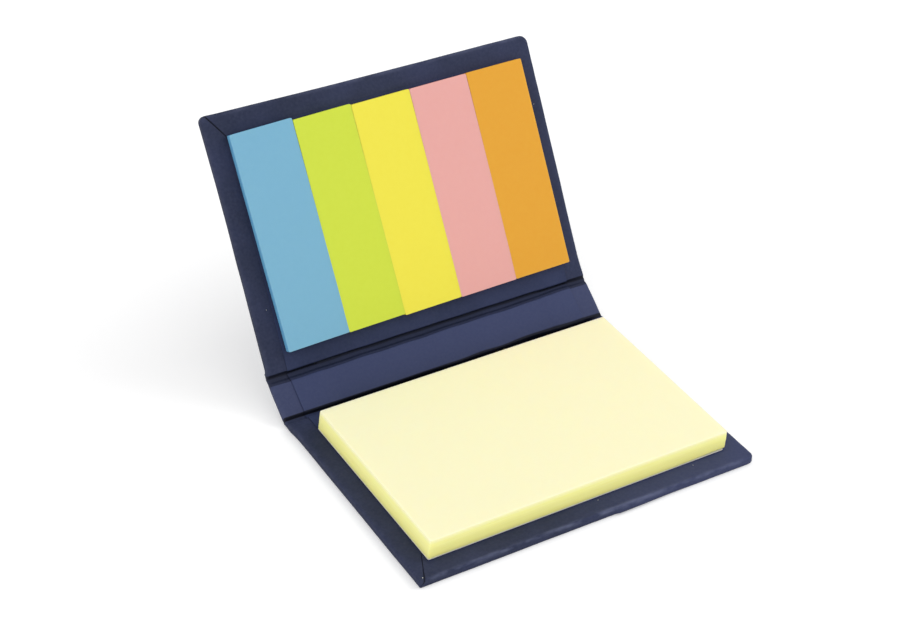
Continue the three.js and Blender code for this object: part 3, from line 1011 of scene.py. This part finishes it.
class Finish:
    """A material with its main shader, and short calls that add and join nodes."""

    def __init__(self, name, roughness):
        self.material = bpy.data.materials.new(name)
        self.material.use_nodes = True
        self.tree = self.material.node_tree
        self.shader = self.tree.nodes["Principled BSDF"]
        self.shader.inputs["Roughness"].default_value = roughness
        self.places = self.tree.nodes.new("ShaderNodeTexCoord").outputs["Object"]

    def join(self, source, target):
        self.tree.links.new(source, target)

    def noise(self, size, detail=4, stretch=(1, 1, 1), tilt=0):
        """Noise with spots of about one size in metres, stretched along the axes of a panel."""
        mapping = self.tree.nodes.new("ShaderNodeMapping")
        mapping.vector_type = "TEXTURE"
        mapping.inputs["Rotation"].default_value = (tilt, 0, 0)
        mapping.inputs["Scale"].default_value = [size * part for part in stretch]
        self.join(self.places, mapping.inputs["Vector"])
        texture = self.tree.nodes.new("ShaderNodeTexNoise")
        texture.inputs["Scale"].default_value = 1
        texture.inputs["Detail"].default_value = detail
        self.join(mapping.outputs["Vector"], texture.inputs["Vector"])
        return texture.outputs["Fac"]

    def ramp(self, value, low, high):
        """0 where a value is below low, 1 where it is above high."""
        node = self.tree.nodes.new("ShaderNodeMapRange")
        node.inputs["From Min"].default_value = low
        node.inputs["From Max"].default_value = high
        self.join(value, node.inputs["Value"])
        return node.outputs["Result"]

    def mark(self, name):
        node = self.tree.nodes.new("ShaderNodeAttribute")
        node.attribute_name = name
        return node.outputs["Fac"]

    def scale(self, value, factor):
        node = self.tree.nodes.new("ShaderNodeMath")
        node.operation = "MULTIPLY"
        node.inputs[1].default_value = factor
        self.join(value, node.inputs[0])
        return node.outputs[0]

    def times(self, value, other):
        node = self.tree.nodes.new("ShaderNodeMath")
        node.operation = "MULTIPLY"
        self.join(value, node.inputs[0])
        self.join(other, node.inputs[1])
        return node.outputs[0]

    def mix(self, share, first, second):
        """A colour between two, each a linear colour or another node's colour."""
        node = self.tree.nodes.new("ShaderNodeMix")
        node.data_type = "RGBA"
        self.join(share, node.inputs["Factor"])
        for socket, colour in (("A", first), ("B", second)):
            inlet = [item for item in node.inputs if item.name == socket and item.type == "RGBA"][0]
            if isinstance(colour, list):
                inlet.default_value = (*colour, 1)
            else:
                self.join(colour, inlet)
        return [item for item in node.outputs if item.type == "RGBA"][0]

    def colour(self, colour):
        self.join(colour, self.shader.inputs["Base Color"])

    def bump(self, height, distance):
        node = self.tree.nodes.new("ShaderNodeBump")
        node.inputs["Distance"].default_value = distance
        self.join(height, node.inputs["Height"])
        self.join(node.outputs["Normal"], self.shader.inputs["Normal"])


def dress(thing, finish):
    """Puts a finish in every material slot of an object."""
    if not thing.data.materials:
        thing.data.materials.append(finish.material)
    for number in range(len(thing.data.materials)):
        thing.data.materials[number] = finish.material


# %% [markdown]
# Navy covering paper is dyed through and slightly glossy. It is mottled: pale fibres float in it,
# and pressing over the board leaves soft darker clouds. Along the arrises the dye has rubbed paler,
# and a painted highlight is laid on them too. The paper is paler in tone on the spine and, by
# painted light, towards the right, and painted shade darkens the grooves and the seams.

# %% Navy paper
painted_shade_black = "06070E"
fibre_share = 0.06
# The shares of rubbed wear with its painted highlight, and of painted shade.
rub_and_highlight_share = 0.3
painted_shade_share = 0.88


def navy_paper(name, plain, cloud, faded, pale_fibre_wear_and_highlight):
    finish = Finish(name, 0.6)
    finish.shader.inputs["Specular IOR Level"].default_value = 0.14
    clouds = finish.ramp(finish.noise(11 * mm, 4), 0.35, 0.68)
    fibres = finish.ramp(finish.noise(0.6 * mm, 3), 0.3, 0.75)
    base = finish.mix(clouds, seen(plain), seen(cloud))
    # Paler tone on the spine and painted light towards the right.
    paler = finish.mix(finish.mark("faded"), base, seen(faded))
    flecked = finish.mix(finish.scale(fibres, fibre_share), paler, seen(pale_fibre_wear_and_highlight))
    # Rubbed wear and a painted highlight along the arrises, in streaky spots.
    rubbed = finish.ramp(finish.noise(1.6 * mm, 4, (2.5, 1, 1)), 0.4, 0.7)
    rubbed_and_highlit_arris = finish.scale(finish.times(finish.mark("wear"), rubbed), rub_and_highlight_share)
    rubbed_and_highlit_paper = finish.mix(rubbed_and_highlit_arris, flecked, seen(pale_fibre_wear_and_highlight))
    # Painted shade: a near-black mixed in where the grooves and seams lie in shade.
    painted_shade_amount = finish.scale(finish.mark("shade"), painted_shade_share)
    finish.colour(finish.mix(painted_shade_amount, rubbed_and_highlit_paper, seen(painted_shade_black)))
    finish.bump(finish.noise(0.4 * mm, 3), 0.005 * mm)
    return finish


# Colours: plain, clouded, paler tone with painted light, and pale fibres, wear and painted highlight.
case_paper = navy_paper("case_paper", "262C42", "2D334D", "3C4364", "757B98")
liner_paper = navy_paper("liner_paper", "272F4A", "2F3755", "3B4366", "666C8C")
for thing in (case_lower, case_upper):
    dress(thing, case_paper)
for thing in (liner_lower, liner_upper):
    dress(thing, liner_paper)

# %% [markdown]
# Note paper is soft and uncoated. Its top leaf is an even tint with faint fibres. The cut edges
# look deeper in colour, because light that enters between leaves bounces from one to the next
# before it comes out, and fine lines show where leaves stand out of line.

# %% Note and marker paper
def leaf_paper(name, top, edge, groove, tilt, glow):
    finish = Finish(name, 0.85)
    finish.shader.inputs["Specular IOR Level"].default_value = 0.2
    finish.shader.inputs["Subsurface Weight"].default_value = glow
    finish.shader.inputs["Subsurface Radius"].default_value = (1.0, 0.9, 0.6)
    finish.shader.inputs["Subsurface Scale"].default_value = 1.5 * mm
    fibres = finish.ramp(finish.noise(1.2 * mm, 5), 0.3, 0.8)
    face = finish.mix(finish.scale(fibres, 0.5), seen(top[0]), seen(top[1]))
    lines = finish.ramp(finish.noise(0.2 * mm, 3, (60, 60, 1), tilt), 0.35, 0.75)
    depth = finish.mark("cut_edge")
    layered = finish.mix(finish.scale(lines, 0.5), seen(edge), seen(groove))
    side = finish.mix(finish.ramp(depth, 0.3, 1.1), layered, seen(groove))
    finish.colour(finish.mix(finish.ramp(depth, 0, 0.22), face, side))
    finish.bump(finish.noise(0.3 * mm, 4), 0.008 * mm)
    return finish


dress(note_stack, leaf_paper("note_paper", ("FFF5CB", "FFF3C8"), "FFF8A8", "F9F08E", 0, 0.6))
marker_colours = {
    "blue": (("7AAFCA", "76ABC7"), "68A8D0", "5A9AC4"),
    "green": (("CBDA48", "C7D643"), "B9CC2C", "A5BA1E"),
    "yellow": (("EADF4E", "E7DB48"), "E2D02E", "D0BE22"),
    "pink": (("E2A7A2", "E0A39E"), "D98A86", "C87773"),
    "orange": (("DFA239", "DD9D35"), "D38A1C", "BF7A14"),
}
for colour, (top, edge, groove) in marker_colours.items():
    dress(marker_stacks[colour], leaf_paper(colour + "_paper", top, edge, groove, lean_back, 0.2))

# %% [markdown]
# Two finishes are nearly hidden: grey board, pressed from waste paper with dark and light flecks,
# and the thin pale card under each pad. The crumbs of dust are as pale as the card, so they take
# its finish.

# %% Board and card
greyboard = Finish("greyboard", 0.9)
flecks = greyboard.ramp(greyboard.noise(0.6 * mm, 5), 0.35, 0.7)
greyboard.colour(greyboard.mix(flecks, seen("85827C"), seen("9A968E")))
greyboard.bump(greyboard.noise(0.4 * mm, 4), 0.04 * mm)
card = Finish("backing_card", 0.85)
card_fibres = card.ramp(card.noise(1 * mm, 4), 0.3, 0.8)
card.colour(card.mix(card_fibres, seen("E9E6DA"), seen("DFDBCC")))
card.bump(card.noise(0.3 * mm, 3), 0.01 * mm)
for node in ("base_board", "spine_board", "cover_board"):
    dress(frame["nodes"][node], greyboard)
for thing in (frame["nodes"]["note_backing"], marker_card, dust_base, dust_cover):
    dress(thing, card)

# %% [markdown]
# ## Floor and light
# The set stands on a white sheet with soft light all round it, a large lamp high on the right and a
# weaker one low on the near left, so its shadow falls softly to the left. The floor is made white
# for the camera by adding a little light of its own that only the camera sees: the object gets none
# of it.

# %% White floor
floor_mesh = bpy.data.meshes.new("floor")
reach = 6.0
floor_corners = [(-reach, -reach, 0), (reach, -reach, 0), (reach, reach, 0), (-reach, reach, 0)]
floor_mesh.from_pydata(floor_corners, [], [(0, 1, 2, 3)])
floor = bpy.data.objects.new("floor", floor_mesh)
floor_drop = 0.02 * mm
floor_grey = 0.85
camera_glow = 0.25
floor_mesh.transform(Matrix.Translation((0, 0, -floor_drop)))
bpy.context.collection.objects.link(floor)
floor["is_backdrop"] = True
floor_material = bpy.data.materials.new("white_sheet")
floor_material.use_nodes = True
tree = floor_material.node_tree
tree.nodes.clear()
output = tree.nodes.new("ShaderNodeOutputMaterial")
sheet_colour = tree.nodes.new("ShaderNodeBsdfDiffuse")
sheet_colour.inputs["Color"].default_value = (floor_grey, floor_grey, floor_grey, 1)
glow = tree.nodes.new("ShaderNodeEmission")
glow.inputs["Strength"].default_value = camera_glow
seen_by = tree.nodes.new("ShaderNodeLightPath")
only_camera = tree.nodes.new("ShaderNodeMixShader")
nothing = tree.nodes.new("ShaderNodeEmission")
nothing.inputs["Strength"].default_value = 0
both = tree.nodes.new("ShaderNodeAddShader")
tree.links.new(seen_by.outputs["Is Camera Ray"], only_camera.inputs["Fac"])
tree.links.new(nothing.outputs[0], only_camera.inputs[1])
tree.links.new(glow.outputs[0], only_camera.inputs[2])
tree.links.new(sheet_colour.outputs[0], both.inputs[0])
tree.links.new(only_camera.outputs[0], both.inputs[1])
tree.links.new(both.outputs[0], output.inputs["Surface"])
floor_mesh.materials.append(floor_material)

# %% Lamps and sky
sky_strength = 0.825
world = bpy.data.worlds.new("studio")
bpy.context.scene.world = world
world.use_nodes = True
sky = world.node_tree.nodes["Background"]
sky.inputs["Color"].default_value = (1, 1, 1, 1)
sky.inputs["Strength"].default_value = sky_strength


def add_lamp(name, place, aim, width, power):
    """A square area lamp at a place, turned to face a point: metres and watts."""
    lamp = bpy.data.lights.new(name, "AREA")
    lamp.shape = "SQUARE"
    lamp.size = width
    lamp.energy = power
    thing = bpy.data.objects.new(name, lamp)
    facing = (Vector(place) - Vector(aim)).to_track_quat("Z", "Y")
    thing.matrix_world = Matrix.Translation(place) @ facing.to_matrix().to_4x4()
    bpy.context.collection.objects.link(thing)


add_lamp("key_lamp", place=(0.85, -0.2, 0.75), aim=(0, 0.02, 0.01), width=0.65, power=3.6)
add_lamp("left_lamp", place=(-0.78, -0.55, 0.3), aim=(0, 0, 0.01), width=0.6, power=2.4)

# %% Sizes and the end
seen_box = [list(corner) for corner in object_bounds()]
grown = (np.array(seen_box) - np.array(cad_box)) / mm
print("size difference in mm", grown.round(2).tolist())
